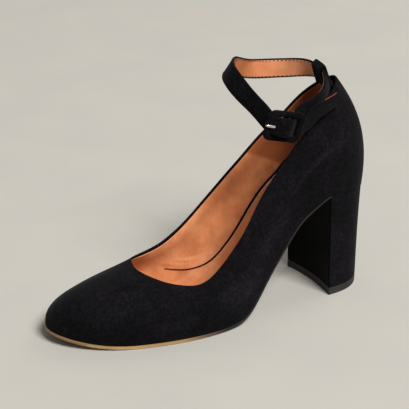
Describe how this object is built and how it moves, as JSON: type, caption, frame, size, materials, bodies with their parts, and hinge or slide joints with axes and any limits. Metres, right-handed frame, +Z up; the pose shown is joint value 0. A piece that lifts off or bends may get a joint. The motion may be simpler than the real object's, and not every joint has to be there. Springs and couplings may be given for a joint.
{
  "type": "heeled slipper",
  "caption": "Left ankle-strap pump: closed almond toe, low-cut topline, covered block heel, leather sole, strap held by a loop at the back and a centre-bar buckle.",
  "frame": {"origin": "middle of the heel's flat floor face", "axes": "+X to the toe, +Y to the outer (lateral) side of the left shoe, +Z up from the floor the shoe stands on"},
  "size_m": [0.2184, 0.0774, 0.1575],
  "materials": {
    "suede": "black suede, matte nap",
    "sole_leather": "natural tan leather, waxed edge",
    "lining_leather": "tan orange lining leather, slightly glossy",
    "heel_cover": "black suede over a block, smooth black breast",
    "heel_rubber": "black moulded rubber",
    "buckle_cover": "black suede wrapped round a wire frame",
    "buckle_metal": "nickel plate"
  },
  "bodies": {
    "root": {"upper": "suede", "outsole": "sole_leather", "insole": "lining_leather", "heel": "heel_cover", "heel_top_piece": "heel_rubber", "strap_loop": "suede", "ankle_strap": "suede", "buckle_frame": "buckle_cover", "buckle_bar": "buckle_metal", "buckle_prong": "buckle_metal"}
  },
  "joints": []
}
